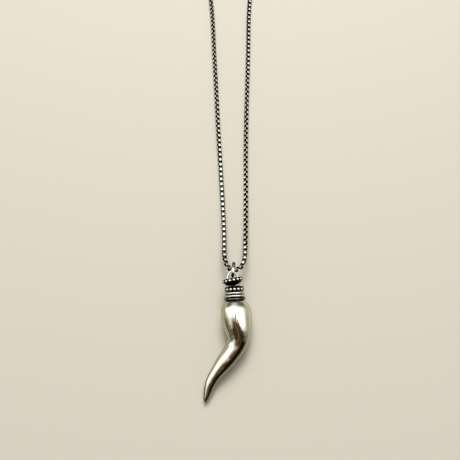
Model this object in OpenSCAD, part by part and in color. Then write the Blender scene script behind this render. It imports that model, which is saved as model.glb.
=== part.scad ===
// Cornicello horn pendant on a fine box chain, lying on its belly.
// +Y points from the horn's tip to the neck loop, +Z up. Millimetres.
// The origin is the middle of the whole part's footprint, on the surface it lies on.

/* [Horn] */
// Length of the horn from its shoulder to its tip
horn_length = 24.4; // [20:0.1:30]
// Largest radius of the horn, at its belly
belly_r = 3.86; // [3.4:0.02:4.4]
// Angle by which the cap end is raised when the horn lies
pitch = 8; // [6:0.1:8.2]
// Sideways lean of the cap's axis
cap_lean = 3.8; // [0:0.1:6]
// Points round each section of the horn
horn_sides = 32; // [16:2:36]

/* [Collar] */
// Pitch of the three half-round bands
band_pitch = 0.72; // [0.6:0.01:0.8]
// Radius of each band's rounded edge
band_edge_r = 0.3; // [0.2:0.01:0.34]
// Outer radius of the lower two bands
band_r = 2.74; // [2.5:0.01:3]
// Outer radius of the top band
top_band_r = 2.58; // [2.4:0.01:2.8]
// Radius of the recesses between the bands
recess_r = 2.32; // [2.1:0.01:2.4]
// Height of the recess between the collar and the horn
foot_h = 0.35; // [0.2:0.01:0.5]

/* [Beaded rings] */
// Beads round each ring
bead_count = 15; // [12:1:16]
// Radius of one bead
bead_r = 0.46; // [0.4:0.01:0.5]
// Radius of the circle that the lower ring's beads lie on
bead_circle_r = 2.17; // [2.1:0.01:2.3]
// Radius of the circle that the upper ring's beads lie on
cup_circle_r = 2.26; // [2.1:0.01:2.3]
// Radius of the rims above and below the beads
rim_r = 2.34; // [2.2:0.01:2.4]
// Tilt of the loose upper ring against the collar
cup_tilt = 7.5; // [0:0.1:9]

/* [Eye and jump ring] */
// Wire radius of the three-cornered eye
eye_wire_r = 0.25; // [0.2:0.01:0.26]
// Wire radius of the jump ring
ring_wire_r = 0.45; // [0.4:0.01:0.46]
// Radius of the jump ring's hole
ring_hole_r = 1.08; // [1.07:0.01:1.12]
// Turn of the jump ring about the vertical
ring_turn = -6; // [-10:1:0]

/* [Chain] */
// Width of the box chain across its flats
chain_w = 1.2; // [1:0.05:1.25]
// Outer radius of the barrel clasp
clasp_r = 1.5; // [1.3:0.05:2]
// Length of the barrel clasp
clasp_length = 10; // [8:0.5:12]

/* [Hidden] */
round_fn = 96;
bead_fn = 48;
wire_sides = 12;
chain_sides = 8;

// Clearance left between two pieces that sit on each other
seat_gap = 0.08;
// Bore that the eye's doubled shank passes through
shank_bore_r = 0.76;
// Depth of the bore in the horn's top
horn_bore_depth = 1.4;
// How far a cut reaches past the face that it opens
cut_over = 1;

// Sections of the horn: [way down, way across, radius], each in hundredths of the
// horn's length, the radius in hundredths of the belly's radius
HORN_SECTIONS = [
    [0, 0, 71],
    [1.5, 0.1, 79],
    [6.2, 0.5, 94],
    [13.2, 1.4, 100],
    [19, 1.9, 99.2],
    [24, 2.6, 94],
    [29, 3.2, 86.5],
    [34, 3.4, 78],
    [38.5, 3.1, 70.5],
    [42.8, 1.8, 65],
    [46.8, -0.2, 62],
    [51.6, -3.7, 60.5],
    [56.6, -7.4, 59],
    [61.6, -11.2, 55.5],
    [67, -15.5, 49],
    [72.4, -19.6, 42.5],
    [77.4, -22.9, 38.2],
    [82.8, -25.5, 34.4],
    [88.2, -27.4, 29.2],
    [93.2, -28.7, 23],
    [97, -29.6, 16],
    [99.3, -30.1, 8],
];

// Stations up the cap's axis, from the horn's shoulder
collar_low = seat_gap;
collar_top = foot_h + 3 * band_pitch;
lower_low = collar_top + seat_gap;
lower_bead_up = 3.12;
lower_rim_h = 0.28;
lower_rim_top = 3.78;
neck_r = 1.5;
neck_top = 3.95;
cup_bead_up = 5.42;
cup_shift = -0.27;

// Heights and radii of the upper ring's cup, from its circle of beads
cup_rim_up = 0.5;
cup_rim_low = -0.46;
cup_rim_h = 0.14;
cup_foot_low = -1.25;
cup_hollow_r = 1.8;
cup_floor = -0.55;
bead_channel_r = 1.9;

// The cup's rounded underside, from its foot out to its rim: [radius, height]
CUP_UNDERSIDE = [[1.15, cup_foot_low], [1.7, -1.08], [2.12, -0.76], [rim_r, cup_rim_low]];

// Turn of each circle of beads about the cap's axis
lower_bead_turn = -11;
upper_bead_turn = -5;

// Route of the eye's wire across and up the cap's plane
EYE_ROUTE = [
    [-0.28, -1], [-0.31, 1], [-0.4, 3], [-0.5, 4.4], [-0.64, 5.1], [-0.98, 5.46],
    [-1.38, 5.68], [-1.6, 6], [-1.55, 6.38], [-1.22, 6.95], [-0.92, 7.42],
    [-0.6, 7.72], [-0.25, 7.82], [0.1, 7.64], [0.45, 7.22], [0.8, 6.78],
    [1.03, 6.42], [1, 6.08], [0.76, 5.8], [0.38, 5.54], [0.13, 5.18], [0.06, 4.4],
    [0.16, 3], [0.25, 1], [0.28, -1],
];

// Places in the lying part, from the middle of the jump ring on the surface
shoulder_at = [1.3, -8.1, 4.434];
ring_at = [0.82, -0.03, 4.99];
ring_path_r = ring_hole_r + ring_wire_r;

// Route of the chain's middle: left end, down the left strand, through the jump
// ring, up the right strand, right end. Rows are [x, y, z].
chain_rest_z = chain_w / 2;
loop_top_y = 222;
CHAIN_ROUTE = [
    [-4.2, 222, 1.5], [-6, 221.9, 1.4], [-10, 220.8, 0.9], [-15, 218.8, 0.6], [-22.5, 214.2, 0.6],
    [-29, 207.5, 0.6], [-33.5, 199, 0.6], [-35.7, 189, 0.6], [-35.6, 177, 0.6],
    [-32.8, 163, 0.6], [-27.5, 148, 0.6], [-20.5, 132, 0.6], [-13.6, 117, 0.6],
    [-8.8, 102, 0.6], [-6, 87, 0.6], [-4.65, 65, 0.6], [-3.3, 40, 0.6],
    [-2.05, 20, 0.9], [-1.55, 9.5, 2.3], [-1.5, 4.2, 3.5], [-1.1, 2, 4.1],
    [-0.45, 0.75, 4.43], [0.15, 0.15, 4.56], [0.85, -0.05, 4.59], [1.75, 0.1, 4.56],
    [2.8, 0.75, 4.42], [3.5, 2, 4.1], [3.9, 4.2, 3.5], [4.2, 9.5, 2.3],
    [4.4, 20, 0.9], [4.6, 40, 0.6], [5.4, 65, 0.6], [6.2, 87, 0.6],
    [8.9, 102, 0.6], [13.6, 117, 0.6], [20.5, 132, 0.6], [27.5, 148, 0.6],
    [32.8, 163, 0.6], [35.6, 177, 0.6], [35.7, 189, 0.6], [33.5, 199, 0.6],
    [29, 207.5, 0.6], [22.5, 214.2, 0.6], [15, 218.8, 0.6], [10, 220.8, 0.9],
    [6, 221.9, 1.4], [4.2, 222, 1.5],
];

// First and last rows of the tight bend through the jump ring
bend_first = 18;
bend_last = 28;

// Middle of the footprint, from the jump ring
tip_reach = 0.33;
middle_y = (loop_top_y + clasp_r + shoulder_at.y - horn_length + tip_reach) / 2;

// One row of a table, with the end rows repeated past the ends
function row(table, i) = table[max(0, min(len(table) - 1, i))];

// A smooth curve through rows a, b, c and d, taken between b and c
function smooth(a, b, c, d, t) =
    b + 0.5 * t * ((c - a) + t * ((2 * a - 5 * b + 4 * c - d) + t * (3 * (b - c) + d - a)));

// A table with steps - 1 smooth rows put in between each two of its own
function finer(table, steps) = concat(
    [for (i = [0 : len(table) - 2])
        for (k = [0 : steps - 1])
            smooth(row(table, i - 1), table[i], table[i + 1], row(table, i + 2), k / steps)],
    [table[len(table) - 1]]);

function unit(v) = v / norm(v);

// Direction of a path at one of its points
function heading(path, i) = unit(row(path, i + 1) - row(path, i - 1));

// Points of one ring round a path that stays near the level plane
function ring_points(path, radii, i, sides) =
    let (ahead = heading(path, i),
         side = unit(cross(ahead, [0, 0, 1])),
         up = cross(side, ahead))
    [for (k = [0 : sides - 1])
        path[i] + radii[i] * (cos((k + 0.5) * 360 / sides) * side
                              + sin((k + 0.5) * 360 / sides) * up)];

// A round bar swept along a path, with its own radius at each point
module swept(path, radii, sides) {
    last = len(path) - 1;
    points = [for (i = [0 : last]) each ring_points(path, radii, i, sides)];
    walls = [for (i = [0 : last - 1])
                for (k = [0 : sides - 1])
                    let (a = i * sides + k, b = i * sides + (k + 1) % sides)
                    each [[a, b, b + sides], [a, b + sides, a + sides]]];
    start_cap = [[for (k = [sides - 1 : -1 : 0]) k]];
    end_cap = [[for (k = [0 : sides - 1]) last * sides + k]];
    polyhedron(points, concat(walls, start_cap, end_cap), convexity = 6);
}

// Stands its children on the part's own origin
module on_origin() {
    translate([0, -middle_y, 0])
        children();
}

// Lays the pendant down: its plane is raised at the cap end
module lying() {
    on_origin()
        translate(shoulder_at)
            rotate([pitch, 0, 0])
                children();
}

// Turns a piece drawn up the Z axis to stand on the cap's axis
module on_cap_axis() {
    lying()
        rotate([0, 0, cap_lean])
            rotate([-90, 0, 0])
                children();
}

module on_cup_axis() {
    lying()
        rotate([0, 0, cap_lean])
            translate([cup_shift, cup_bead_up, 0])
                rotate([0, 0, cup_tilt])
                    rotate([-90, 0, 0])
                        children();
}

module bead_circle(circle_r, turn) {
    for (i = [0 : bead_count - 1])
        rotate([0, 0, turn + i * 360 / bead_count])
            translate([0, circle_r, 0])
                sphere(r = bead_r, $fn = bead_fn);
}

module horn() {
    sections = finer(HORN_SECTIONS, 3);
    share = horn_length / 100;
    path = [for (s = sections) [s[1] * share, -s[0] * share, 0]];
    radii = [for (s = sections) s[2] * belly_r / 100];
    color("gainsboro")
        difference() {
            lying()
                swept(path, radii, horn_sides);
            on_cap_axis()
                translate([0, 0, -horn_bore_depth])
                    cylinder(r = shank_bore_r, h = horn_bore_depth + cut_over, $fn = round_fn);
        }
}

// Half of one band's section, from the middle of the collar's wall outwards
module band(up, outer_r) {
    wall_middle = (shank_bore_r + recess_r) / 2;
    translate([outer_r - band_edge_r, up])
        circle(r = band_edge_r, $fn = bead_fn);
    translate([wall_middle, up - band_edge_r])
        square([outer_r - band_edge_r - wall_middle, 2 * band_edge_r]);
}

module collar() {
    color("silver")
        on_cap_axis()
            rotate_extrude($fn = round_fn) {
                translate([shank_bore_r, collar_low])
                    square([recess_r - shank_bore_r, collar_top - collar_low]);
                for (i = [0 : 2])
                    band(foot_h + (i + 0.5) * band_pitch, i == 2 ? top_band_r : band_r);
            }
}

module lower_beaded_ring() {
    color("dimgray")
        on_cap_axis() {
            difference() {
                union() {
                    translate([0, 0, lower_low])
                        cylinder(r = rim_r, h = lower_rim_h, $fn = round_fn);
                    translate([0, 0, lower_low])
                        cylinder(r = bead_channel_r, h = lower_rim_top - lower_low, $fn = round_fn);
                    translate([0, 0, lower_rim_top - lower_rim_h])
                        cylinder(r = rim_r, h = lower_rim_h, $fn = round_fn);
                    translate([0, 0, lower_low])
                        cylinder(r = neck_r, h = neck_top - lower_low, $fn = round_fn);
                    translate([0, 0, lower_bead_up])
                        bead_circle(bead_circle_r, lower_bead_turn);
                }
                cylinder(r = shank_bore_r, h = neck_top + cut_over, $fn = round_fn);
            }
        }
}

module upper_beaded_ring() {
    color("dimgray")
        on_cup_axis()
            difference() {
                union() {
                    rotate_extrude($fn = round_fn)
                        cup_section();
                    bead_circle(cup_circle_r, upper_bead_turn);
                }
                translate([0, 0, cup_floor])
                    cylinder(r = cup_hollow_r, h = cup_rim_up - cup_floor + cut_over, $fn = round_fn);
                translate([0, 0, cup_foot_low - cut_over])
                    cylinder(r = shank_bore_r, h = 2 * cut_over + cup_floor - cup_foot_low, $fn = round_fn);
            }
}

// Half of the cup's outer section, solid to the axis
module cup_section() {
    translate([0, cup_floor])
        square([bead_channel_r, cup_rim_up - cup_floor]);
    translate([0, cup_rim_up - cup_rim_h])
        square([rim_r, cup_rim_h]);
    translate([0, cup_rim_low])
        square([rim_r, cup_rim_h]);
    polygon(concat([[0, cup_rim_low], [0, cup_foot_low]], CUP_UNDERSIDE));
}

module wire_eye() {
    route = finer(EYE_ROUTE, 2);
    color("silver")
        lying()
            rotate([0, 0, cap_lean])
                swept([for (p = route) [p.x, p.y, 0]], [for (p = route) eye_wire_r], wire_sides);
}

module jump_ring() {
    color("silver")
        on_origin()
            translate(ring_at)
                rotate([0, 0, ring_turn])
                    rotate([0, 90, 0])
                        rotate_extrude($fn = round_fn)
                            translate([ring_path_r, 0])
                                circle(r = ring_wire_r, $fn = bead_fn);
}

// The links' outer form: eight-sided, flat underneath
module box_chain() {
    route = concat(
        finer([for (i = [0 : bend_first]) CHAIN_ROUTE[i]], 2),
        [for (i = [bend_first + 1 : bend_last - 1]) CHAIN_ROUTE[i]],
        finer([for (i = [bend_last : len(CHAIN_ROUTE) - 1]) CHAIN_ROUTE[i]], 2));
    resting = [for (p = route) [p.x, p.y, max(p.z, chain_rest_z)]];
    corner_r = chain_w / 2 / cos(180 / chain_sides);
    color("gray")
        on_origin()
            swept(resting, [for (p = route) corner_r], chain_sides);
}

module barrel_clasp() {
    half = clasp_length / 2;
    end_bore_r = 0.9;
    end_bore_depth = 1.3;
    color("silver")
        on_origin()
            translate([0, loop_top_y, clasp_r])
                rotate([0, 90, 0])
                    difference() {
                        cylinder(r = clasp_r, h = clasp_length, center = true, $fn = round_fn);
                        for (end = [-half, half])
                            translate([0, 0, end])
                                cylinder(r = end_bore_r, h = 2 * end_bore_depth, center = true,
                                         $fn = round_fn);
                    }
}

horn();
collar();
lower_beaded_ring();
upper_beaded_ring();
wire_eye();
jump_ring();
box_chain();
barrel_clasp();
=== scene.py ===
"""Horn pendant on a box chain: the finished surfaces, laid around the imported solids.

Lengths are metres and angles radians, where no comment says otherwise. +Y points from the horn's
tip to the neck loop, and +Z up off the surface that the pendant lies on.
"""

import math

import bmesh
import bpy
import numpy as np
from bpy.props import FloatProperty, FloatVectorProperty, IntProperty, PointerProperty
from mathutils import Matrix, Vector, noise


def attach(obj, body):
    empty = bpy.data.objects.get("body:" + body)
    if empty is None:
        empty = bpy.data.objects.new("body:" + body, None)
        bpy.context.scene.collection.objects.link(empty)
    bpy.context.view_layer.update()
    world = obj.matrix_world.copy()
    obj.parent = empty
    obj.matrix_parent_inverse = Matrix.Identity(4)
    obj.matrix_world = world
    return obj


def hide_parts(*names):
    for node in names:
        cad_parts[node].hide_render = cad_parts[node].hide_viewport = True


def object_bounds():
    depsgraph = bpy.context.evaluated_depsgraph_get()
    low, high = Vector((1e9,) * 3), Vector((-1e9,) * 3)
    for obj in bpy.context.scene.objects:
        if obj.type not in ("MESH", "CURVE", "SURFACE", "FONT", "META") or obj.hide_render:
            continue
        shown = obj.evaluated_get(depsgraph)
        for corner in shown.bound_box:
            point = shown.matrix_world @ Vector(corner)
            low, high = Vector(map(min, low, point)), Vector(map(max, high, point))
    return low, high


bl_info = {
    "name": "Horn pendant on a box chain",
    "version": (1, 0, 0),
    "blender": (4, 5, 0),
    "location": "View3D > Sidebar > Pendant",
    "description": "Builds a silver horn pendant, its cap and rings, its box chain and a plain stage",
    "category": "Add Mesh",
}

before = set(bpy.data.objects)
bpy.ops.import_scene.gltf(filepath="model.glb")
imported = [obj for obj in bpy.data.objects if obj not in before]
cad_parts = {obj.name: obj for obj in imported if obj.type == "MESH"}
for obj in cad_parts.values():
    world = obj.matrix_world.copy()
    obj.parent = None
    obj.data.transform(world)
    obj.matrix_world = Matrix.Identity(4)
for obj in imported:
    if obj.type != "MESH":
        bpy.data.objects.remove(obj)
CAD_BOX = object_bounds()

MM = 0.001
# Name of the mesh value that darkens the silver: oxide in the hollows, and painted shade on the beads,
# the cup's underside, the eye wire's sides and shank, the chain's end bars and the jump ring
OXIDE_SHADE_ATTRIBUTE = "recess"

# Sections of the horn: way down and way across in hundredths of its length, and the radius in
# hundredths of the belly's radius
HORN_SECTIONS = (
    (0, 0, 71), (1.5, 0.1, 79), (6.2, 0.5, 94), (13.2, 1.4, 100), (19, 1.9, 99.2), (24, 2.6, 94),
    (29, 3.2, 86.5), (34, 3.4, 78), (38.5, 3.1, 70.5), (42.8, 1.8, 65), (46.8, -0.2, 62),
    (51.6, -3.7, 60.5), (56.6, -7.4, 59), (61.6, -11.2, 55.5), (67, -15.5, 49),
    (72.4, -19.6, 42.5), (77.4, -22.9, 38.2), (82.8, -25.5, 34.4), (88.2, -27.4, 29.2),
    (93.2, -28.7, 23), (97, -29.6, 16), (99.3, -30.1, 8),
)

# Route of the eye's wire: across the cap's plane, and up the cap's axis from the horn's shoulder
EYE_ROUTE = (
    (-0.00028, -0.001), (-0.00031, 0.001), (-0.0004, 0.003), (-0.0005, 0.0044),
    (-0.00064, 0.0051), (-0.00098, 0.00546), (-0.00138, 0.00568), (-0.0016, 0.006),
    (-0.00155, 0.00638), (-0.00122, 0.00695), (-0.00092, 0.00742), (-0.0006, 0.00772),
    (-0.00025, 0.00782), (0.0001, 0.00764), (0.00045, 0.00722), (0.0008, 0.00678),
    (0.00103, 0.00642), (0.001, 0.00608), (0.00076, 0.0058), (0.00038, 0.00554),
    (0.00013, 0.00518), (0.00006, 0.0044), (0.00016, 0.003), (0.00025, 0.001),
    (0.00028, -0.001),
)

# Route of the chain's middle: left end, down the left strand, through the jump ring, up the right
# strand, right end. x, distance above the jump ring, height.
CHAIN_ROUTE = (
    (-0.0042, 0.222, 0.0015), (-0.006, 0.2219, 0.0014), (-0.01, 0.2208, 0.0009),
    (-0.015, 0.2188, 0.0006), (-0.0225, 0.2142, 0.0006), (-0.029, 0.2075, 0.0006),
    (-0.0335, 0.199, 0.0006), (-0.0357, 0.189, 0.0006), (-0.0356, 0.177, 0.0006),
    (-0.0328, 0.163, 0.0006), (-0.0275, 0.148, 0.0006), (-0.0205, 0.132, 0.0006),
    (-0.0136, 0.117, 0.0006), (-0.0088, 0.102, 0.0006), (-0.006, 0.087, 0.0006),
    (-0.00465, 0.065, 0.0006), (-0.0033, 0.04, 0.0006), (-0.00205, 0.02, 0.0009),
    (-0.00155, 0.0095, 0.0023), (-0.0015, 0.0042, 0.0035), (-0.0011, 0.002, 0.0041),
    (-0.00045, 0.00075, 0.00443), (0.00015, 0.00015, 0.00456), (0.00085, -0.00005, 0.00459),
    (0.00175, 0.0001, 0.00456), (0.0028, 0.00075, 0.00442), (0.0035, 0.002, 0.0041),
    (0.0039, 0.0042, 0.0035), (0.0042, 0.0095, 0.0023), (0.0044, 0.02, 0.0009),
    (0.0046, 0.04, 0.0006), (0.0054, 0.065, 0.0006), (0.0062, 0.087, 0.0006),
    (0.0089, 0.102, 0.0006), (0.0136, 0.117, 0.0006), (0.0205, 0.132, 0.0006),
    (0.0275, 0.148, 0.0006), (0.0328, 0.163, 0.0006), (0.0356, 0.177, 0.0006),
    (0.0357, 0.189, 0.0006), (0.0335, 0.199, 0.0006), (0.029, 0.2075, 0.0006),
    (0.0225, 0.2142, 0.0006), (0.015, 0.2188, 0.0006), (0.01, 0.2208, 0.0009),
    (0.006, 0.2219, 0.0014), (0.0042, 0.222, 0.0015),
)

# Turn of the chain about its own middle: distance along it from the jump ring, the left strand's
# below zero, and degrees
CHAIN_TURNS = (
    (-0.25, 45), (-0.110, 62), (-0.088, 52), (-0.070, 42), (-0.056, 36), (-0.047, 31),
    (-0.040, 23), (-0.033, 10), (-0.027, 0), (-0.0065, 0), (-0.004, 20), (-0.001, 26), (0.001, 30),
    (0.003, 24), (0.0046, 0), (0.0068, 0), (0.0095, 28), (0.012, 43), (0.030, 45), (0.056, 50),
    (0.064, 66), (0.072, 73), (0.090, 76), (0.120, 85), (0.25, 110),
)

# The part's own places, measured from the middle of the jump ring on the surface
SHOULDER = Vector((0.0013, -0.0081, 0.004434))
RING_MIDDLE = Vector((0.00082, -0.00003, 0.00499))
LOOP_TOP = 0.222

# Stations up the cap's axis from the horn's shoulder
COLLAR_LOW = 0.08 * MM
SEAT_GAP = 0.08 * MM
LOWER_BEADS_UP = 3.12 * MM
LOWER_RIM_TOP = 3.78 * MM
LOWER_RIM_HEIGHT = 0.28 * MM
NECK_RADIUS = 1.5 * MM
NECK_TOP = 3.95 * MM
CUP_BEADS_UP = 5.42 * MM
CUP_SHIFT = -0.27 * MM

# Heights and radii of the upper ring's cup, from its circle of beads
CUP_RIM_UP = 0.5 * MM
CUP_RIM_LOW = -0.46 * MM
CUP_RIM_HEIGHT = 0.14 * MM
CUP_FOOT_LOW = -1.25 * MM
CUP_HOLLOW_RADIUS = 1.8 * MM
CUP_FLOOR = -0.55 * MM

# The cup's underside, from its foot outwards: radius, height and darkening, which is painted shade
# under the cup
CUP_UNDERSIDE = (
    (1.15 * MM, CUP_FOOT_LOW, 0.9), (1.7 * MM, -1.08 * MM, 0.85), (2.12 * MM, -0.76 * MM, 0.8),
)
# Painted shade at the cup's lower edge
CUP_EDGE_SHADE = 0.8

# The channel behind the beads, the bore for the eye's shank, and how far up the shank is painted black
# as shade
CHANNEL_RADIUS = 1.9 * MM
SHANK_BORE_RADIUS = 0.76 * MM
SHANK_BLACK_BELOW = 5.0 * MM

LOWER_BEAD_TURN = math.radians(-11)
UPPER_BEAD_TURN = math.radians(-5)

# Steps round each form, and steps along each curve from one row of its table to the next
ROUND_STEPS = 144
BEAD_RINGS = 14
BEAD_STEPS = 24
BAND_STEPS = 14
HORN_STEPS = 128
WIRE_STEPS = 24
CUP_CURVE_STEPS = 5
HORN_CURVE_STEPS = 8
EYE_CURVE_STEPS = 6
CHAIN_CURVE_STEPS = 24

# The least angle that stays a sharp edge
SHARP_ANGLE = math.radians(38)

# How dark the silver is made on the crests of the three bands and of the rims, on the neck, and at the
# mouths of the hollows. Then how fast a bead darkens away from its outer face: oxide where the beads
# meet, painted shade over the rest.
BAND_CRESTS = (0.43, 0.0, 0.06)
BAND_COUNT = len(BAND_CRESTS)
RIM_CREST = 0.72
NECK_RECESS = 0.5
MOUTH_RECESS = 0.6
BEAD_DARKENING = 1.4

# The horn's bore, shoulder and tip, the fineness of its unevenness, and the depth of all marks
HORN_BORE_DEPTH = 1.4 * MM
SHOULDER_ROUNDING = 0.96
TIP_STEPS = 8
TIP_LENGTH = 0.8
UNEVEN_SCALE = 420.0
MARK_DEPTH = 0.00002

# Painted shade on the jump ring: how dark it is across its middle, and how fast it darkens to the far
# side and fades towards the pendant. Then how square its load has drawn it, where 2 is round
RING_SHADE_LEVEL = 0.5
RING_SHADE_SLOPE = 0.6
RING_SQUARENESS = 2.5

# A link's rounded corners, its strip's bevelled edges, and how dark its edges and end bars are
LINK_CORNER = 0.3 * MM
LINK_CORNER_STEPS = 4
STRIP_BEVEL = 0.05 * MM
EDGE_RECESS = 0.53
INNER_EDGE_RECESS = 0.8
END_SHADE = 2.2

# The clasp's end bores, rounded ends and middle groove
CLASP_BORE = 0.9 * MM
CLASP_BORE_DEPTH = 1.3 * MM
CLASP_EDGE = 0.35 * MM
CLASP_GROOVE = 0.12 * MM
GROOVE_EDGE_RECESS = 0.5

# Darkened finishes, oxide and painted shade alike: how far the darkening reaches, its patchiness, the
# roughness where it is bright and where it is dark, and how strong its marks are
DARKENED_FINISHES = {
    "Banded silver": (0.36, 0.25, 0.13, 0.22, 0.06),
    "Shade-painted oxidised silver": (0.4, 0.25, 0.13, 0.34, 0.08),
    "Shade-painted oxidised silver cup": (0.4, 0.25, 0.13, 0.34, 0.08),
    "Eye wire silver": (0.22, 0.2, 0.12, 0.3, 0.06),
    "Jump ring silver": (0.52, 0.25, 0.16, 0.45, 0.06),
    "Box chain silver": (0.5, 0.2, 0.14, 0.4, 0.05),
    "Clasp silver": (0.7, 0.2, 0.12, 0.35, 0.05),
}
OXIDE_GRAIN = 2500.0
OXIDE_EDGE = 0.16

# The horn's polish: its roughness where smooth and where dulled, and the grain and strength of its
# marks
HORN_SMOOTH = 0.026
HORN_DULLED = 0.07
HORN_GRAIN = 900.0
HORN_MARKS = 0.05

# Handling marks: the way and the stretch of the hairlines, and how broad and how far the dulling is
HAIR_TURN = (0.2, 0.1, 0.5)
HAIR_STRETCH = (1.0, 0.06, 1.0)
DULLING_GRAIN = 0.25
DULLING_FROM = 0.4
DULLING_TO = 0.75

# Shades in the room that the silver mirrors
WINDOW_COLOUR = (1.0, 0.985, 0.94)
WARM_GREY = (0.27, 0.23, 0.2)
RUST = (0.16, 0.105, 0.06)
BROWN = (0.13, 0.07, 0.03)
DEEP_BROWN = (0.06, 0.035, 0.012)
OLIVE = (0.07, 0.06, 0.01)
GREY_GREEN = (0.07, 0.085, 0.05)
DARK_GREEN = (0.01, 0.02, 0.003)
BLACK = (0.005, 0.004, 0.003)

# The mirrored room: a bright window all over, and in front of it soft oval patches seen from the
# pendant. Each is the way east and north of overhead (1 is the horizon), its turn, half its size
# across and along, its softness, and its shade.
ROOM_PATCHES = (
    (-1.35, 0.05, 0.5, 0.3, 1.3, 0.4, OLIVE),
    (-1.1, -0.7, -0.3, 1.05, 0.25, 0.45, DARK_GREEN),
    (0.2, -1.0, -0.7, 1.2, 0.4, 0.35, BROWN),
    (-0.15, -0.2, 0.05, 0.08, 0.2, 0.25, WARM_GREY),
    (-0.35, -1.1, 0.2, 1.5, 0.52, 0.12, DEEP_BROWN),
    (1.0, -0.6, 0.45, 1.9, 0.25, 0.5, BLACK),
    (0.2, 1.2, -0.4, 1.9, 0.53, 0.6, GREY_GREEN),
    (-1.25, 0.55, 0.55, 1.9, 0.35, 0.55, GREY_GREEN),
    (1.3, -1.4, 0.2, 0.22, 1.9, 0.6, DEEP_BROWN),
    (0.2, -0.47, 0.9, 0.05, 0.3, 0.25, BROWN),
    (-0.15, -0.6, 1.1, 0.05, 0.35, 0.4, RUST),
)

# Half the height of every patch, so great that only its two level sizes count
HEIGHT_REACH = 100.0

# Painted shade and light on the floor that only the silver's reflections show: dark to the south-east
# and the south-west, and a pale one beside the belly. Rows as above, in metres.
PAINTED_FLOOR_PATCHES = (
    (0.05, -0.16, -0.5, 0.055, 0.03, 0.3, (0.016, 0.014, 0.011)),
    (-0.055, -0.15, -0.1, 0.055, 0.043, 0.25, (0.022, 0.018, 0.007)),
    (0.026, -0.1, 0.0, 0.022, 0.0135, 0.4, (0.61, 0.575, 0.45)),
)

# The soft light that falls on the floor: an even part, a broad lamp overhead, and a wide sun high
# to the north. Each lamp is its kind, its place, its size (the sun's in radians) and its strength.
SKY_LIGHT = (0.28, 0.276, 0.268)
LAMPS = (
    ("AREA", Vector((0.0, 0.16, 0.33)), 0.3, 1.1),
    ("SUN", Vector((0.0, 0.6, 0.75)), 0.4, 1.2),
)
BACKDROP_COLOUR = (0.60, 0.57, 0.50)
FLOOR_REACH = 12.0
FLOOR_ROUGHNESS = 0.9
FLOOR_SHINE = 0.1

# The photograph's camera: the sensor's width in millimetres, the frame's width and the focal length in
# pixels, the nearest distance seen, the camera's place and where it looks
SENSOR = 36.0
FRAME_PIXELS = 460
LENS_PIXELS = 480
NEAREST_SEEN = 0.005
CAMERA_AT = Vector((0, -0.11977, 0.12593))
CAMERA_AIM = Vector((0, -0.08367, 0))


class HornSettings(bpy.types.PropertyGroup):
    length: FloatProperty(
        name="Length",
        description="From the horn's shoulder to its tip",
        default=0.0244,
        unit="LENGTH",
    )
    belly_radius: FloatProperty(
        name="Belly radius",
        description="Largest radius of the horn",
        default=0.00386,
        unit="LENGTH",
    )
    pitch: FloatProperty(
        name="Pitch",
        description="Angle by which the cap end is raised off the surface",
        default=math.radians(8),
        subtype="ANGLE",
    )
    cap_lean: FloatProperty(
        name="Cap lean",
        description="Sideways lean of the cap's axis",
        default=math.radians(3.8),
        subtype="ANGLE",
    )
    unevenness: FloatProperty(
        name="Unevenness",
        description="How far the hand polishing leaves the surface from true",
        default=0.000014,
        unit="LENGTH",
    )


class CapSettings(bpy.types.PropertyGroup):
    band_pitch: FloatProperty(
        name="Band pitch", description="From one band to the next", default=0.00072, unit="LENGTH"
    )
    band_edge: FloatProperty(
        name="Band edge radius", description="Rounding of each band", default=0.0003, unit="LENGTH"
    )
    band_radius: FloatProperty(
        name="Band radius",
        description="Outside of the lower two bands",
        default=0.00274,
        unit="LENGTH",
    )
    top_band_radius: FloatProperty(
        name="Top band radius",
        description="Outside of the top band",
        default=0.00258,
        unit="LENGTH",
    )
    recess_radius: FloatProperty(
        name="Recess radius", description="Floor of the recesses", default=0.00232, unit="LENGTH"
    )
    foot_height: FloatProperty(
        name="Foot height",
        description="Recess between collar and horn",
        default=0.00035,
        unit="LENGTH",
    )
    bead_count: IntProperty(name="Beads", description="Beads round each ring", default=15)
    bead_radius: FloatProperty(
        name="Bead radius", description="Radius of one bead", default=0.00046, unit="LENGTH"
    )
    lower_circle: FloatProperty(
        name="Lower bead circle",
        description="Circle of the lower beads",
        default=0.00217,
        unit="LENGTH",
    )
    upper_circle: FloatProperty(
        name="Upper bead circle",
        description="Circle of the upper beads",
        default=0.00226,
        unit="LENGTH",
    )
    rim_radius: FloatProperty(
        name="Rim radius",
        description="Rims above and below the beads",
        default=0.00234,
        unit="LENGTH",
    )
    cup_tilt: FloatProperty(
        name="Cup tilt",
        description="Tilt of the loose upper ring",
        default=math.radians(7.5),
        subtype="ANGLE",
    )


class WireSettings(bpy.types.PropertyGroup):
    eye_radius: FloatProperty(
        name="Eye wire radius", description="Wire of the eye", default=0.00025, unit="LENGTH"
    )
    ring_radius: FloatProperty(
        name="Jump ring wire radius",
        description="Wire of the jump ring",
        default=0.00045,
        unit="LENGTH",
    )
    ring_hole: FloatProperty(
        name="Jump ring hole radius",
        description="Hole of the jump ring",
        default=0.00108,
        unit="LENGTH",
    )
    ring_turn: FloatProperty(
        name="Jump ring turn",
        description="Turn of the jump ring about the vertical",
        default=math.radians(-6),
        subtype="ANGLE",
    )


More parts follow.
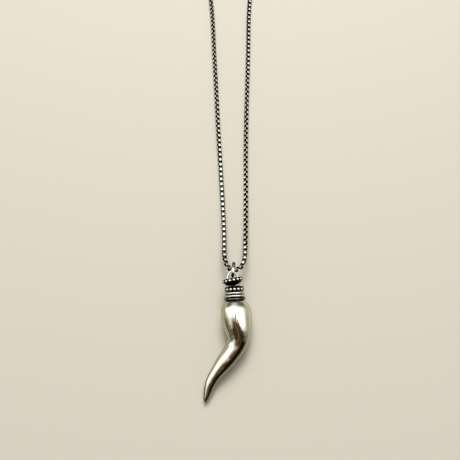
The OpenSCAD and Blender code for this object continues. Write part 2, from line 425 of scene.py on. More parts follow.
class ChainSettings(bpy.types.PropertyGroup):
    link_width: FloatProperty(
        name="Link width", description="Across one link's flats", default=0.0012, unit="LENGTH"
    )
    link_length: FloatProperty(
        name="Link length", description="Outside length of one link", default=0.00119, unit="LENGTH"
    )
    strip_thickness: FloatProperty(
        name="Strip thickness", description="Of the strip of a link", default=0.0002, unit="LENGTH"
    )
    strip_width: FloatProperty(
        name="Strip width", description="Of the strip of a link", default=0.00062, unit="LENGTH"
    )
    pitch: FloatProperty(
        name="Link pitch", description="From one link to the next", default=0.00075, unit="LENGTH"
    )
    clasp_radius: FloatProperty(
        name="Clasp radius",
        description="Outside of the barrel clasp",
        default=0.0015,
        unit="LENGTH",
    )
    clasp_length: FloatProperty(
        name="Clasp length", description="End to end of the clasp", default=0.01, unit="LENGTH"
    )


class FinishSettings(bpy.types.PropertyGroup):
    silver: FloatVectorProperty(
        name="Silver", description="Polished silver", default=(0.86, 0.85, 0.80), subtype="COLOR"
    )
    horn_silver: FloatVectorProperty(
        name="Horn silver",
        description="Warmer silver of the horn",
        default=(0.82, 0.81, 0.69),
        subtype="COLOR",
    )
    wire_silver: FloatVectorProperty(
        name="Wire silver",
        description="Duller silver of the wires",
        default=(0.84, 0.82, 0.76),
        subtype="COLOR",
    )
    # The jump ring's painted shade: a dull grey-brown laid on its far side in place of black
    ring_shade: FloatVectorProperty(
        name="Ring shade",
        description="Dull grey-brown film on the jump ring",
        default=(0.20, 0.18, 0.13),
        subtype="COLOR",
    )
    # Black of the oxide, and of the painted shade on the beads, the cup's underside, the eye wire and
    # the chain
    oxide: FloatVectorProperty(
        name="Oxide",
        description="Blackened silver",
        default=(0.006, 0.0055, 0.0045),
        subtype="COLOR",
    )


class StageSettings(bpy.types.PropertyGroup):
    floor: FloatVectorProperty(
        name="Floor", description="Pale floor", default=(0.74, 0.69, 0.58), subtype="COLOR"
    )
    # Painted shade: the floor's darker colour that only reflections show
    mirrored_floor_shade: FloatVectorProperty(
        name="Mirrored floor",
        description="Deeper tone of the floor in the silver",
        default=(0.44, 0.41, 0.29),
        subtype="COLOR",
    )
    window: FloatProperty(name="Window", description="Brightness of the mirrored window", default=1.9)
    lamps: FloatProperty(name="Lamps", description="Brightness of the soft lamps", default=1.0)
    lens_widths: FloatProperty(
        name="Lens",
        description="Focal length in frame widths",
        default=LENS_PIXELS / FRAME_PIXELS,
    )


class PendantSettings(bpy.types.PropertyGroup):
    horn: PointerProperty(type=HornSettings)
    cap: PointerProperty(type=CapSettings)
    wire: PointerProperty(type=WireSettings)
    chain: PointerProperty(type=ChainSettings)
    finish: PointerProperty(type=FinishSettings)
    stage: PointerProperty(type=StageSettings)


def settings():
    return bpy.context.scene.horn_pendant


# Places


def on_origin():
    """From the jump ring to the middle of the part's footprint."""
    half_length = (CAD_BOX[1][1] - CAD_BOX[0][1]) / 2
    return Matrix.Translation((0, half_length - LOOP_TOP - settings().chain.clasp_radius, 0))


def lying():
    """The pendant's plane, raised at the cap end, with its shoulder at the origin."""
    return on_origin() @ Matrix.Translation(SHOULDER) @ Matrix.Rotation(settings().horn.pitch, 4, "X")


def cap_plane():
    """The lying plane, turned so that +Y goes up the leaning cap."""
    return lying() @ Matrix.Rotation(settings().horn.cap_lean, 4, "Z")


def cap_axis():
    """Turns a piece made up the Z axis to stand on the cap's axis."""
    return cap_plane() @ Matrix.Rotation(-math.pi / 2, 4, "X")


def cup_axis():
    """Sets the loose cup on the neck, tilted."""
    seat = Matrix.Translation((CUP_SHIFT, CUP_BEADS_UP, 0))
    tilt = Matrix.Rotation(settings().cap.cup_tilt, 4, "Z")
    return cap_plane() @ seat @ tilt @ Matrix.Rotation(-math.pi / 2, 4, "X")


# Curves and swept forms


def finer(table, steps):
    """A table with steps - 1 smooth rows put in between each two of its own."""
    rows = np.array(table, float)
    last = len(rows) - 1
    out = []
    for i in range(last):
        a, b = rows[max(i - 1, 0)], rows[i]
        c, d = rows[i + 1], rows[min(i + 2, last)]
        slope = c - a
        bend = 2 * a - 5 * b + 4 * c - d
        change = 3 * (b - c) + d - a
        for k in range(steps):
            t = k / steps
            out.append(b + 0.5 * t * (slope + t * (bend + t * change)))
    out.append(rows[last])
    return np.array(out)


def level_frames(path):
    """Heading, side and up vectors along a path that stays near the level plane."""
    ahead = np.gradient(path, axis=0)
    ahead = ahead / np.linalg.norm(ahead, axis=1)[:, None]
    side = np.cross(ahead, (0, 0, 1))
    side /= np.linalg.norm(side, axis=1)[:, None]
    return ahead, side, np.cross(side, ahead)


def turns_round(steps):
    """Even angles round a circle."""
    return [2 * math.pi * k / steps for k in range(steps)]


def grid_faces(rows, steps, closed_rows=False):
    """Quads over rows of points, where each row closes on itself."""
    faces = []
    for i in range(rows if closed_rows else rows - 1):
        for k in range(steps):
            a, b = i * steps + k, i * steps + (k + 1) % steps
            c, d = ((i + 1) % rows) * steps + (k + 1) % steps, ((i + 1) % rows) * steps + k
            faces.append((a, b, c, d))
    return faces


def capped_rings(start, rings, end):
    """Points and faces of rings of points, closed by one point at each end."""
    steps = len(rings[0])
    points = [tuple(start)] + [tuple(point) for ring in rings for point in ring] + [tuple(end)]
    faces = [tuple(1 + k for k in face) for face in grid_faces(len(rings), steps)]
    last = len(points) - 1
    for k in range(steps):
        after = (k + 1) % steps
        faces.append((0, 1 + after, 1 + k))
        faces.append((last, last - steps + k, last - steps + after))
    return points, faces


class Shape:
    """Points, faces and darkening values gathered from several forms: oxide, and painted shade."""

    def __init__(self):
        self.points = []
        self.faces = []
        self.recess = []

    def add(self, points, faces, recess):
        first = len(self.points)
        self.points.extend(points)
        self.faces.extend(tuple(first + k for k in face) for face in faces)
        self.recess.extend(recess)

    def lathe(self, profile):
        """A closed section turned about Z. Rows of the section are radius, height, darkening."""
        points, recess = [], []
        for radius, height, darkening in profile:
            for a in turns_round(ROUND_STEPS):
                points.append((radius * math.cos(a), radius * math.sin(a), height))
                recess.append(darkening)
        self.add(points, grid_faces(len(profile), ROUND_STEPS, closed_rows=True), recess)

    def tube(self, path, radius):
        """A round wire swept along a path, bright above and below, with painted shade darkening its
        sides.
        """
        _, side, up = level_frames(path)
        turns = turns_round(WIRE_STEPS)
        rings = [
            [middle + radius * (math.cos(a) * side[i] + math.sin(a) * up[i]) for a in turns]
            for i, middle in enumerate(path)
        ]
        points, faces = capped_rings(path[0], rings, path[-1])
        # Painted shade: darkest at the wire's sides
        recess = [1 - abs(math.sin(a)) for a in turns]
        self.add(points, faces, [1.0] + recess * len(path) + [1.0])

    def piece(self, name, place):
        """Makes the gathered forms one mesh object, set in its place."""
        mesh = bpy.data.meshes.new(name)
        mesh.from_pydata(self.points, [], self.faces)
        mesh.transform(place)
        values = mesh.attributes.new(OXIDE_SHADE_ATTRIBUTE, "FLOAT", "POINT")
        values.data.foreach_set("value", self.recess)
        mesh.validate()
        tidy_normals(mesh)
        mesh.shade_smooth()
        mesh.set_sharp_from_angle(angle=SHARP_ANGLE)
        obj = bpy.data.objects.new(name, mesh)
        bpy.context.scene.collection.objects.link(obj)
        return obj


def tidy_normals(mesh):
    """Turns every closed form's faces outwards."""
    work = bmesh.new()
    work.from_mesh(mesh)
    bmesh.ops.recalc_face_normals(work, faces=work.faces)
    work.to_mesh(mesh)
    work.free()


def dress(obj, material, node):
    """Gives a piece its material, its body and the node that it stands for."""
    obj.data.materials.append(material)
    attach(obj, "root")
    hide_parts(node)


# Sections of the turned pieces: rows of radius, height and darkening, from 0 for bright silver, as on
# a worn crest, to 1 for black, as in a corner; on the cup's underside the darkening is painted shade


def round_edge(outer, up, edge, crest):
    """Half a circle of section round a band or a rim, blacker away from its crest."""
    rows = []
    for k in range(BAND_STEPS + 1):
        a = math.pi * (k / BAND_STEPS - 0.5)
        darkening = crest + (1 - crest) * (1 - math.cos(a))
        rows.append((outer - edge + edge * math.cos(a), up + edge * math.sin(a), darkening))
    return rows


def collar_section(cap):
    top = cap.foot_height + BAND_COUNT * cap.band_pitch
    rows = [(SHANK_BORE_RADIUS, COLLAR_LOW, 1), (cap.recess_radius, COLLAR_LOW, 1)]
    for i, crest in enumerate(BAND_CRESTS):
        up = cap.foot_height + (i + 0.5) * cap.band_pitch
        outer = cap.top_band_radius if i == BAND_COUNT - 1 else cap.band_radius
        rows.append((cap.recess_radius, up - cap.band_edge, 1))
        rows += round_edge(outer, up, cap.band_edge, crest)
        rows.append((cap.recess_radius, up + cap.band_edge, 1))
    return rows + [(cap.recess_radius, top, 1), (SHANK_BORE_RADIUS, top, 1)]


def lower_ring_section(cap):
    low = cap.foot_height + BAND_COUNT * cap.band_pitch + SEAT_GAP
    half = LOWER_RIM_HEIGHT / 2
    rows = [(SHANK_BORE_RADIUS, low, 1)]
    rows += round_edge(cap.rim_radius, low + half, half, RIM_CREST)
    rows += [(CHANNEL_RADIUS, low + 2 * half, 1), (CHANNEL_RADIUS, LOWER_RIM_TOP - 2 * half, 1)]
    rows += round_edge(cap.rim_radius, LOWER_RIM_TOP - half, half, RIM_CREST)
    rows += [(NECK_RADIUS, LOWER_RIM_TOP, 1), (NECK_RADIUS, NECK_TOP, NECK_RECESS)]
    return rows + [(SHANK_BORE_RADIUS, NECK_TOP, 1)]


def cup_section(cap):
    half = CUP_RIM_HEIGHT / 2
    # The cup's underside and lower edge carry painted shade
    edge = (cap.rim_radius - half, CUP_RIM_LOW, CUP_EDGE_SHADE)
    under = finer((*CUP_UNDERSIDE, edge), CUP_CURVE_STEPS)
    rows = [(SHANK_BORE_RADIUS, CUP_FOOT_LOW, 1)] + [tuple(row) for row in under[:-1]]
    rows += round_edge(cap.rim_radius, CUP_RIM_LOW + half, half, RIM_CREST)
    rows += [(CHANNEL_RADIUS, CUP_RIM_LOW + 2 * half, 1), (CHANNEL_RADIUS, CUP_RIM_UP - 2 * half, 1)]
    rows += round_edge(cap.rim_radius, CUP_RIM_UP - half, half, RIM_CREST)
    rows += [(CUP_HOLLOW_RADIUS, CUP_RIM_UP, MOUTH_RECESS), (CUP_HOLLOW_RADIUS, CUP_FLOOR, 1)]
    return rows + [(SHANK_BORE_RADIUS, CUP_FLOOR, 1)]


def clasp_section(chain):
    """Rows from the depth of one end's bore, over the grooved outside, to the other's."""
    half, outer = chain.clasp_length / 2, chain.clasp_radius
    right = [(outer, CLASP_GROOVE, GROOVE_EDGE_RECESS)]
    for k in range(BAND_STEPS // 2 + 1):
        a = 0.5 * math.pi * k / (BAND_STEPS // 2)
        inset, back = CLASP_EDGE * (1 - math.cos(a)), CLASP_EDGE * (1 - math.sin(a))
        right.append((outer - inset, half - back, 0.0))
    right += [(CLASP_BORE, half, MOUTH_RECESS), (CLASP_BORE, half - CLASP_BORE_DEPTH, 1)]
    left = [(radius, -along, darkening) for radius, along, darkening in reversed(right)]
    return left + [(outer - CLASP_GROOVE, 0.0, 1.0)] + right


# Beads and chain


def bead_circle(shape, cap, circle, up, turn):
    """Round beads on a circle, bright on their outer faces, black with oxide where they meet, and
    darkened by painted shade in between.
    """
    for i in range(cap.bead_count):
        # The part's own beads start from +Y, so a quarter turn comes first
        way = math.pi / 2 + turn + 2 * math.pi * i / cap.bead_count
        outward = np.array((math.cos(way), math.sin(way), 0))
        middle = circle * outward + np.array((0, 0, up))
        rings = []
        for ring in range(1, BEAD_RINGS):
            tip = math.pi * ring / BEAD_RINGS
            wide, high = math.sin(tip), math.cos(tip)
            rings.append([
                middle + cap.bead_radius * np.array((wide * math.cos(a), wide * math.sin(a), high))
                for a in turns_round(BEAD_STEPS)
            ])
        top = np.array((0, 0, cap.bead_radius))
        points, faces = capped_rings(middle + top, rings, middle - top)
        # Painted shade grows away from each bead's outer face; where the beads meet it is oxide
        facing_out = (np.array(points) - middle) @ outward / cap.bead_radius
        shape.add(points, faces, np.minimum(1.0, BEAD_DARKENING * (1 - facing_out)).tolist())


def silver_link(chain):
    """One box link: a square frame of flat strip. Returns rows round the frame, as points along the
    chain, across it and along the frame's own axis, the darkening of each, and the faces."""
    half_length = chain.link_length / 2
    half_width = chain.link_width / 2
    corner = LINK_CORNER
    outline = []
    for quarter in range(4):
        start = quarter * math.pi / 2
        right = 1 if quarter in (0, 3) else -1
        upper = 1 if quarter in (0, 1) else -1
        for k in range(LINK_CORNER_STEPS):
            a = start + (math.pi / 2) * k / (LINK_CORNER_STEPS - 1)
            place = (right * (half_length - corner), upper * (half_width - corner))
            outline.append((*place, math.cos(a), math.sin(a)))
    half_strip = chain.strip_width / 2
    bevel = STRIP_BEVEL
    thick = chain.strip_thickness
    section = (
        (0, half_strip - bevel, 0), (0, -half_strip + bevel, 0),
        (bevel, -half_strip, EDGE_RECESS), (thick - bevel, -half_strip, INNER_EDGE_RECESS),
        (thick, -half_strip + bevel, 1), (thick, half_strip - bevel, 1),
        (thick - bevel, half_strip, INNER_EDGE_RECESS), (bevel, half_strip, EDGE_RECESS),
    )
    points, recess = [], []
    for along, across, cos_a, sin_a in outline:
        # The end bars lie in the next links: oxide stays there, and painted shade darkens them too
        ends = min(1.0, END_SHADE * abs(cos_a))
        for inward, depth, darkening in section:
            reach = corner - inward
            points.append((along + reach * cos_a, across + reach * sin_a, depth))
            recess.append(max(darkening, ends))
    return np.array(points), recess, grid_faces(len(outline), len(section), closed_rows=True)


def rest_height(chain, turn):
    """Height at which a turned chain's middle lies, resting on the corners of its links."""
    half_width, half_strip = chain.link_width / 2, chain.strip_width / 2
    quarter = turn % (math.pi / 2)
    return max(
        half_width * math.cos(quarter) + half_strip * math.sin(quarter),
        half_width * math.sin(quarter) + half_strip * math.cos(quarter),
    )


def chain_path():
    """The chain's middle at each link, from clasp to clasp, and how far along it the ring is."""
    route = finer(CHAIN_ROUTE, CHAIN_CURVE_STEPS)
    route[:, 2] = np.maximum(route[:, 2], settings().chain.link_width / 2)
    steps = np.linalg.norm(np.diff(route, axis=0), axis=1)
    distance = np.concatenate([[0], np.cumsum(steps)])
    ring = distance[np.argmin(np.linalg.norm(route[:, :2] - np.array(RING_MIDDLE[:2]), axis=1))]
    count = 2 * round(distance[-1] / settings().chain.pitch / 2)
    places = (np.arange(count) + 0.5) * distance[-1] / count
    path = np.stack([np.interp(places, distance, route[:, i]) for i in range(3)], 1)
    return path, places - ring


# Finishes


def feed(tree, target, value):
    """Gives an input a plain value, or a link from a socket."""
    if isinstance(value, bpy.types.NodeSocket):
        tree.links.new(value, target)
    else:
        target.default_value = value


def add_node(tree, kind, place, **values):
    """A shader node at its place. Each value feeds the input of its name, or is a setting."""
    node = tree.nodes.new(kind)
    node.location = place
    for key, value in values.items():
        if key in node.inputs:
            feed(tree, node.inputs[key], value)
        else:
            setattr(node, key, value)
    return node


def maths(tree, operation, place, first, second):
    """The output of a maths node on two values or sockets."""
    node = add_node(tree, "ShaderNodeMath", place, operation=operation)
    feed(tree, node.inputs[0], first)
    feed(tree, node.inputs[1], second)
    return node.outputs[0]


def blend(tree, place, kind, factor, first, second):
    """What lies between two colours, or two numbers, by a factor."""
    values = {"data_type": kind, "Factor": factor, "A": first, "B": second}
    return add_node(tree, "ShaderNodeMix", place, **values).outputs["Result"]


def new_group(name, inputs, outputs):
    """A shader node group with its sockets. Returns it, what it is given and what it puts out."""
    group = bpy.data.node_groups.new(name, "ShaderNodeTree")
    for socket, default in inputs.items():
        kind = "NodeSocketColor" if isinstance(default, tuple) else "NodeSocketFloat"
        made = group.interface.new_socket(name=socket, in_out="INPUT", socket_type=kind)
        made.default_value = default
    for socket, kind in outputs.items():
        group.interface.new_socket(name=socket, in_out="OUTPUT", socket_type=kind)
    given = add_node(group, "NodeGroupInput", (-900, 0)).outputs
    return group, given, add_node(group, "NodeGroupOutput", (700, 0)).inputs


def darkening_group():
    """Black oxide that stays in the recesses and is rubbed off the crests, and painted shade where the
    mask marks it.
    """
    group = bpy.data.node_groups.get("Oxide in the recesses")
    if group:
        return group
    group, given, put_out = new_group(
        "Oxide in the recesses",
        {
            "Recess": 0.0, "Silver": (0.9, 0.9, 0.9, 1), "Oxide": (0.02, 0.02, 0.02, 1),
            "Reach": 0.5, "Patchiness": 0.2, "Scale": OXIDE_GRAIN, "Bright": 0.12, "Dark": 0.45,
        },
        {"Color": "NodeSocketColor", "Roughness": "NodeSocketFloat"},
    )
    spots = add_node(
        group, "ShaderNodeTexNoise", (-680, -300), Scale=given["Scale"], Detail=4.0, Roughness=0.6,
        Vector=add_node(group, "ShaderNodeTexCoord", (-900, -300)).outputs["Object"],
    )
    centred = maths(group, "SUBTRACT", (-480, -300), spots.outputs["Fac"], 0.5)
    patch = maths(group, "MULTIPLY", (-300, -250), centred, given["Patchiness"])
    limits = {
        "From Min": maths(group, "SUBTRACT", (-300, 60), given["Reach"], OXIDE_EDGE),
        "From Max": maths(group, "ADD", (-300, 220), given["Reach"], OXIDE_EDGE),
    }
    mask = add_node(
        group, "ShaderNodeMapRange", (80, 0), interpolation_type="SMOOTHSTEP",
        Value=maths(group, "ADD", (-120, -120), given["Recess"], patch), **limits,
    ).outputs["Result"]
    colour = blend(group, (320, 160), "RGBA", mask, given["Silver"], given["Oxide"])
    rough = blend(group, (320, -120), "FLOAT", mask, given["Bright"], given["Dark"])
    group.links.new(colour, put_out["Color"])
    group.links.new(rough, put_out["Roughness"])
    return group


def marks_group():
    """Fine handling marks: long hairlines over faint dulling."""
    group = bpy.data.node_groups.get("Handling marks")
    if group:
        return group
    group, given, put_out = new_group(
        "Handling marks",
        {"Scale": HORN_GRAIN, "Smooth": HORN_SMOOTH, "Dulled": HORN_DULLED},
        {"Height": "NodeSocketFloat", "Roughness": "NodeSocketFloat"},
    )
    where = add_node(group, "ShaderNodeTexCoord", (-900, -300)).outputs["Object"]
    turned = add_node(
        group, "ShaderNodeMapping", (-700, -300),
        Vector=where, Rotation=HAIR_TURN, Scale=HAIR_STRETCH,
    )
    hairs = add_node(
        group, "ShaderNodeTexNoise", (-480, -200),
        Vector=turned.outputs["Vector"], Scale=given["Scale"], Detail=5.0, Roughness=0.7,
    )
    broader = maths(group, "MULTIPLY", (-700, -560), given["Scale"], DULLING_GRAIN)
    dull = add_node(
        group, "ShaderNodeTexNoise", (-480, -480),
        Vector=where, Scale=broader, Detail=3.0, Roughness=0.55,
    )
    limits = {"From Min": DULLING_FROM, "From Max": DULLING_TO}
    spread = add_node(
        group, "ShaderNodeMapRange", (-200, -480), Value=dull.outputs["Fac"], **limits
    ).outputs["Result"]
    rough = blend(group, (200, -200), "FLOAT", spread, given["Smooth"], given["Dulled"])
    group.links.new(hairs.outputs["Fac"], put_out["Height"])
    group.links.new(rough, put_out["Roughness"])
    return group


def lay_patches(tree, where, colour, patches):
    """Soft ovals laid one after another over a colour."""
    for i, (east, north, turn, across, along, soft, shade) in enumerate(patches):
        down = -300 * i
        patch = add_node(
            tree, "ShaderNodeMapping", (-800, down), vector_type="TEXTURE", Vector=where,
            Location=(east, north, 0), Rotation=(0, 0, turn), Scale=(across, along, HEIGHT_REACH),
        )
        off = add_node(tree, "ShaderNodeVectorMath", (-600, down), operation="LENGTH")
        tree.links.new(patch.outputs["Vector"], off.inputs[0])
        limits = {"From Min": 1 - soft, "From Max": 1 + soft, "To Min": 1, "To Max": 0}
        mask = add_node(
            tree, "ShaderNodeMapRange", (-400, down), interpolation_type="SMOOTHSTEP",
            Value=off.outputs["Value"], **limits,
        ).outputs["Result"]
        colour = blend(tree, (-200, down), "RGBA", mask, colour, (*shade, 1))
    return colour


def new_material(name, metallic=1.0):
    """A material with its tree and its shader."""
    material = bpy.data.materials.new(name)
    material.use_nodes = True
    shader = material.node_tree.nodes["Principled BSDF"]
    shader.inputs["Metallic"].default_value = metallic
    return material, material.node_tree, shader


def add_marks(tree, shader, grain, strength):
    """Raises fine handling marks on a shader, and returns their node."""
    marks = add_node(
        tree, "ShaderNodeGroup", (-520, -300), node_tree=marks_group(), Scale=grain
    )
    bump = add_node(
        tree, "ShaderNodeBump", (-260, -360),
        Strength=strength, Distance=MARK_DEPTH, Height=marks.outputs["Height"],
    )
    tree.links.new(bump.outputs["Normal"], shader.inputs["Normal"])
    return marks


def mirror_silver():
    """Mirror polished silver, dulled here and there by handling."""
    material, tree, shader = new_material("Polished silver")
    shader.inputs["Base Color"].default_value = (*settings().finish.horn_silver, 1)
    marks = add_marks(tree, shader, HORN_GRAIN, HORN_MARKS)
    tree.links.new(marks.outputs["Roughness"], shader.inputs["Roughness"])
    return material


def darkened_silver(name, silver=None, shading=None):
    """Silver with oxide in the recesses and painted shade where the mask marks it, in black or in
    another given shade.
    """
    finish = settings().finish
    reach, patchiness, bright, dark, strength = DARKENED_FINISHES[name]
    material, tree, shader = new_material(name)
    recess = add_node(tree, "ShaderNodeAttribute", (-900, 0), attribute_name=OXIDE_SHADE_ATTRIBUTE)
    oxide = add_node(
        tree, "ShaderNodeGroup", (-520, 80), node_tree=darkening_group(),
        Recess=recess.outputs["Fac"],
        Silver=(*(silver or finish.silver), 1), Oxide=(*(shading or finish.oxide), 1),
        Reach=reach, Patchiness=patchiness, Scale=OXIDE_GRAIN, Bright=bright, Dark=dark,
    )
    tree.links.new(oxide.outputs["Color"], shader.inputs["Base Color"])
    tree.links.new(oxide.outputs["Roughness"], shader.inputs["Roughness"])
    add_marks(tree, shader, OXIDE_GRAIN, strength)
    return material


# Pieces


def horn_rows(horn):
    """Middle, radius, side and up of each ring of the horn, from its bore to near its tip, and the
    tip's own point."""
    sections = finer(HORN_SECTIONS, HORN_CURVE_STEPS)
    level = np.zeros(len(sections))
    path = np.stack([sections[:, 1], -sections[:, 0], level], 1) * horn.length / 100
    radii = sections[:, 2] * horn.belly_radius / 100
    ahead, side, up = level_frames(path)
    rows = []
    # The blind bore under the collar, then the shoulder's small rounding
    lean = horn.cap_lean
    shoulder = SHOULDER_ROUNDING * radii[0]
    starts = ((HORN_BORE_DEPTH, SHANK_BORE_RADIUS), (0, SHANK_BORE_RADIUS), (0, shoulder))
    for depth, radius in starts:
        middle = np.array((depth * math.sin(lean), -depth * math.cos(lean), 0))
        rows.append((middle, radius, side[0], up[0]))
    rows += list(zip(path, radii, side, up))
    # The tip closes as a small dome
    dome = ahead[-1] * radii[-1] * TIP_LENGTH
    for k in range(1, TIP_STEPS):
        a = 0.5 * math.pi * k / TIP_STEPS
        rows.append((path[-1] + dome * math.sin(a), radii[-1] * math.cos(a), side[-1], up[-1]))
    return rows, path[-1] + dome


def polished_ring(unevenness, middle, radius, side, up):
    """A ring of points that hand polishing has left a little uneven."""
    ring = []
    for a in turns_round(HORN_STEPS):
        out = math.cos(a) * side + math.sin(a) * up
        reach = radius
        # The bore and the thin tip stay true
        if radius > 2 * SHANK_BORE_RADIUS:
            reach += unevenness * noise.noise(Vector(middle + radius * out) * UNEVEN_SCALE)
        ring.append(middle + reach * out)
    return ring


class PENDANT_OT_horn(bpy.types.Operator):
    """Make the S-curved horn"""

    bl_idname = "pendant.horn"
    bl_label = "Horn"

    def execute(self, context):
        horn = settings().horn
        rows, tip = horn_rows(horn)
        rings = [polished_ring(horn.unevenness, *row) for row in rows]
        points, faces = capped_rings(rows[0][0], rings, tip)
        shape = Shape()
        shape.add(points, faces, [0.0] * len(points))
        obj = shape.piece("horn_body", lying())
        dress(obj, mirror_silver(), "horn")
        return {"FINISHED"}


class PENDANT_OT_collar(bpy.types.Operator):
    """Turn the three-banded collar"""

    bl_idname = "pendant.collar"
    bl_label = "Collar"

    def execute(self, context):
        shape = Shape()
        shape.lathe(collar_section(settings().cap))
        obj = shape.piece("banded_collar", cap_axis())
        dress(obj, darkened_silver("Banded silver"), "collar")
        return {"FINISHED"}


class PENDANT_OT_lower_ring(bpy.types.Operator):
    """Make the lower ring of beads on its neck"""

    bl_idname = "pendant.lower_ring"
    bl_label = "Lower beaded ring"

    def execute(self, context):
        cap = settings().cap
        shape = Shape()
        shape.lathe(lower_ring_section(cap))
        bead_circle(shape, cap, cap.lower_circle, LOWER_BEADS_UP, LOWER_BEAD_TURN)
        obj = shape.piece("lower_beads", cap_axis())
        dress(obj, darkened_silver("Shade-painted oxidised silver"), "lower_beaded_ring")
        return {"FINISHED"}


class PENDANT_OT_upper_ring(bpy.types.Operator):
    """Make the loose upper ring: a beaded cup that tilts on the neck"""

    bl_idname = "pendant.upper_ring"
    bl_label = "Upper beaded ring"

    def execute(self, context):
        cap = settings().cap
        shape = Shape()
        shape.lathe(cup_section(cap))
        bead_circle(shape, cap, cap.upper_circle, 0.0, UPPER_BEAD_TURN)
        obj = shape.piece("upper_beads", cup_axis())
        dress(obj, darkened_silver("Shade-painted oxidised silver cup"), "upper_beaded_ring")
        return {"FINISHED"}


class PENDANT_OT_eye(bpy.types.Operator):
    """Bend the wire eye whose doubled shank goes down through the cap"""

    bl_idname = "pendant.eye"
    bl_label = "Wire eye"

    def execute(self, context):
        route = finer(EYE_ROUTE, EYE_CURVE_STEPS)
        path = np.stack([route[:, 0], route[:, 1], np.zeros(len(route))], 1)
        wire = settings().wire
        shape = Shape()
        shape.tube(path, wire.eye_radius)
        # Painted black shade on the shank inside the cap
        shape.recess = [
            1.0 if point[1] < SHANK_BLACK_BELOW else darkening
            for point, darkening in zip(shape.points, shape.recess)
        ]
        obj = shape.piece("eye_wire", cap_plane())
        dress(obj, darkened_silver("Eye wire silver"), "wire_eye")
        return {"FINISHED"}


def squared(point):
    """Moves a point out from the Z axis, most at the corners of a rounded square."""
    x, y, z = point
    round_reach = math.hypot(x, y)
    square_reach = (abs(x) ** RING_SQUARENESS + abs(y) ** RING_SQUARENESS) ** (1 / RING_SQUARENESS)
    share = round_reach / square_reach
    return (x * share, y * share, z)


class PENDANT_OT_jump_ring(bpy.types.Operator):
    """Make the heavy closed jump ring"""

    bl_idname = "pendant.jump_ring"
    bl_label = "Jump ring"

    def execute(self, context):
        wire = settings().wire
        middle = wire.ring_hole + wire.ring_radius
        thick = wire.ring_radius
        turns = turns_round(WIRE_STEPS)
        section = [(middle + thick * math.cos(a), thick * math.sin(a), 0.0) for a in turns]
        shape = Shape()
        shape.lathe(section)
        # Drawn a little square by its load
        shape.points = [squared(point) for point in shape.points]
        # Painted shade: dark on the far side, fading to bright towards the pendant
        shape.recess = [RING_SHADE_LEVEL + RING_SHADE_SLOPE * y / middle for _, y, _ in shape.points]
        turn = Matrix.Rotation(wire.ring_turn, 4, "Z") @ Matrix.Rotation(math.pi / 2, 4, "Y")
        obj = shape.piece("jump_ring_wire", on_origin() @ Matrix.Translation(RING_MIDDLE) @ turn)
        finish = settings().finish
        # Its painted shade is a dull grey-brown rather than black
        material = darkened_silver("Jump ring silver", finish.wire_silver, finish.ring_shade)
        dress(obj, material, "jump_ring")
        return {"FINISHED"}


class PENDANT_OT_chain(bpy.types.Operator):
    """Lay the box chain, link by link"""

    bl_idname = "pendant.chain"
    bl_label = "Box chain"

    def execute(self, context):
        chain = settings().chain
        path, distance = chain_path()
        ahead, side, up = level_frames(path)
        turns = np.array(CHAIN_TURNS, float)
        turn = np.radians(np.interp(distance, turns[:, 0], turns[:, 1]))
        link, recess, faces = silver_link(chain)
        shape = Shape()
        for i, (x, y, height) in enumerate(path):
            centre = np.array((x, y, max(height, rest_height(chain, turn[i]))))
            # Each link stands square to the one before
            a = turn[i] + (math.pi / 2 if i % 2 else 0)
            across = math.cos(a) * side[i] + math.sin(a) * up[i]
            through = math.cos(a) * up[i] - math.sin(a) * side[i]
            turned = centre + link[:, :1] * ahead[i] + link[:, 1:2] * across + link[:, 2:] * through
            shape.add(turned.tolist(), faces, recess)
        obj = shape.piece("chain_links", on_origin())
        dress(obj, darkened_silver("Box chain silver"), "box_chain")
        return {"FINISHED"}


class PENDANT_OT_clasp(bpy.types.Operator):
    """Turn the barrel clasp that closes the far end"""

    bl_idname = "pendant.clasp"
    bl_label = "Barrel clasp"

    def execute(self, context):
        chain = settings().chain
        rows = clasp_section(chain)
        turns = turns_round(ROUND_STEPS // 2)
        rings = [
            [(radius * math.cos(a), radius * math.sin(a), along) for a in turns]
            for radius, along, _ in rows
        ]
        points, faces = capped_rings((0, 0, rows[0][1]), rings, (0, 0, rows[-1][1]))
        shape = Shape()
        shape.add(points, faces, [1.0] + [darkening for _, _, darkening in rows for _ in turns] + [1.0])
        place = on_origin() @ Matrix.Translation((0, LOOP_TOP, chain.clasp_radius))
        obj = shape.piece("clasp_barrel", place @ Matrix.Rotation(math.pi / 2, 4, "Y"))
        dress(obj, darkened_silver("Clasp silver"), "barrel_clasp")
        return {"FINISHED"}


# Stage


def pale_floor(stage):
    """A plain floor. Reflections see it darker, with patches: painted shade and light."""
    material, tree, shader = new_material("Pale floor", 0.0)
    where = add_node(tree, "ShaderNodeTexCoord", (-1000, 0)).outputs["Object"]
    # Painted shade and light that only the silver's reflections see
    mirrored = lay_patches(tree, where, (*stage.mirrored_floor_shade, 1), PAINTED_FLOOR_PATCHES)
    seen = add_node(tree, "ShaderNodeLightPath", (-520, 300)).outputs["Is Glossy Ray"]
    tones = blend(tree, (100, 200), "RGBA", seen, (*stage.floor, 1), mirrored)
    tree.links.new(tones, shader.inputs["Base Color"])
    shader.inputs["Roughness"].default_value = FLOOR_ROUGHNESS
    shader.inputs["Specular IOR Level"].default_value = FLOOR_SHINE
    return material


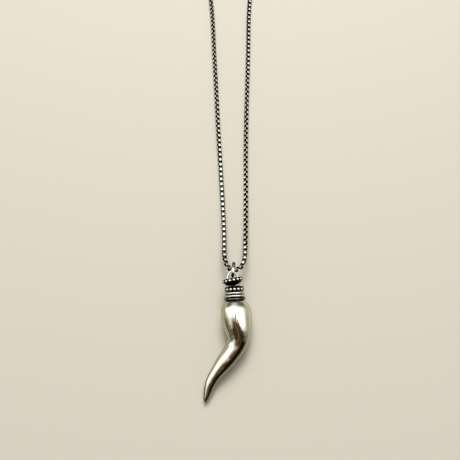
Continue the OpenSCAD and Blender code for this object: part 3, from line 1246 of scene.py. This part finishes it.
class PENDANT_OT_stage(bpy.types.Operator):
    """Lay the pale floor and set the soft studio light and the camera"""

    bl_idname = "pendant.stage"
    bl_label = "Stage"

    def execute(self, context):
        stage = settings().stage
        mesh = bpy.data.meshes.new("floor")
        reach = FLOOR_REACH
        corners = [(-reach, -reach, 0), (reach, -reach, 0), (reach, reach, 0), (-reach, reach, 0)]
        mesh.from_pydata(corners, [], [(0, 1, 2, 3)])
        mesh.materials.append(pale_floor(stage))
        floor = bpy.data.objects.new("floor", mesh)
        bpy.context.scene.collection.objects.link(floor)
        light_the_room(stage)
        for kind, place, size, share in LAMPS:
            hang_lamp(kind, place, size, stage.lamps * share)
        set_camera(stage)
        context.scene.view_settings.view_transform = "Standard"
        return {"FINISHED"}


def light_the_room(stage):
    """A bright window with the room's darker patches before it, as the silver mirrors them."""
    world = bpy.data.worlds.new("Soft studio")
    bpy.context.scene.world = world
    world.use_nodes = True
    tree = world.node_tree
    tree.nodes.clear()
    where = add_node(tree, "ShaderNodeTexCoord", (-1000, 0)).outputs["Generated"]
    window = [stage.window * part for part in WINDOW_COLOUR]
    room = lay_patches(tree, where, (*window, 1), ROOM_PATCHES)
    seen = add_node(tree, "ShaderNodeLightPath", (0, 600)).outputs
    shown = add_node(tree, "ShaderNodeBackground", (0, 200), Color=room).outputs[0]
    # The sky light falls on the floor, and the camera sees the backdrop
    others = (("Diffuse Depth", SKY_LIGHT, 200), ("Is Camera Ray", BACKDROP_COLOUR, 400))
    for ray, colour, place in others:
        other = add_node(tree, "ShaderNodeBackground", (place - 200, -200), Color=(*colour, 1))
        pick = add_node(tree, "ShaderNodeMixShader", (place, 100), Fac=seen[ray])
        tree.links.new(shown, pick.inputs[1])
        tree.links.new(other.outputs[0], pick.inputs[2])
        shown = pick.outputs[0]
    add_node(tree, "ShaderNodeOutputWorld", (600, 100), Surface=shown)


def hang_lamp(kind, place, size, strength):
    """A soft lamp. The silver mirrors the room's own window in its place."""
    lamp = bpy.data.lights.new("Soft lamp", kind)
    if kind == "SUN":
        lamp.angle = size
    else:
        lamp.size = size
    lamp.energy = strength
    obj = bpy.data.objects.new("Soft lamp", lamp)
    bpy.context.scene.collection.objects.link(obj)
    obj.location = place
    obj.rotation_euler = (CAMERA_AIM - place).to_track_quat("-Z", "Y").to_euler()
    obj.visible_camera = False
    obj.visible_glossy = False


def set_camera(stage):
    """The photograph's view: nearly straight down, its top tilted away."""
    data = bpy.data.cameras.new("view")
    data.sensor_width = SENSOR
    data.lens = SENSOR * stage.lens_widths
    data.clip_start = NEAREST_SEEN
    camera = bpy.data.objects.new("view", data)
    bpy.context.scene.collection.objects.link(camera)
    camera.location = CAMERA_AT
    camera.rotation_euler = (CAMERA_AIM - CAMERA_AT).to_track_quat("-Z", "Y").to_euler()
    bpy.context.scene.camera = camera


class PENDANT_PT_panel(bpy.types.Panel):
    """Lists the pieces in the sidebar"""

    bl_idname = "PENDANT_PT_panel"
    bl_label = "Pendant"
    bl_space_type = "VIEW_3D"
    bl_region_type = "UI"
    bl_category = "Pendant"

    def draw(self, context):
        for operator in BUILDERS:
            self.layout.operator(operator.bl_idname)


BUILDERS = (
    PENDANT_OT_horn,
    PENDANT_OT_collar,
    PENDANT_OT_lower_ring,
    PENDANT_OT_upper_ring,
    PENDANT_OT_eye,
    PENDANT_OT_jump_ring,
    PENDANT_OT_chain,
    PENDANT_OT_clasp,
    PENDANT_OT_stage,
)
GROUPS = (
    HornSettings, CapSettings, WireSettings, ChainSettings,
    FinishSettings, StageSettings, PendantSettings,
)


def register():
    for made in (*GROUPS, *BUILDERS, PENDANT_PT_panel):
        bpy.utils.register_class(made)
    bpy.types.Scene.horn_pendant = PointerProperty(type=PendantSettings)


def unregister():
    del bpy.types.Scene.horn_pendant
    for made in reversed((*GROUPS, *BUILDERS, PENDANT_PT_panel)):
        bpy.utils.unregister_class(made)


def main():
    register()
    for operator in BUILDERS:
        family, name = operator.bl_idname.split(".")
        getattr(getattr(bpy.ops, family), name)()


if __name__ == "__main__":
    main()
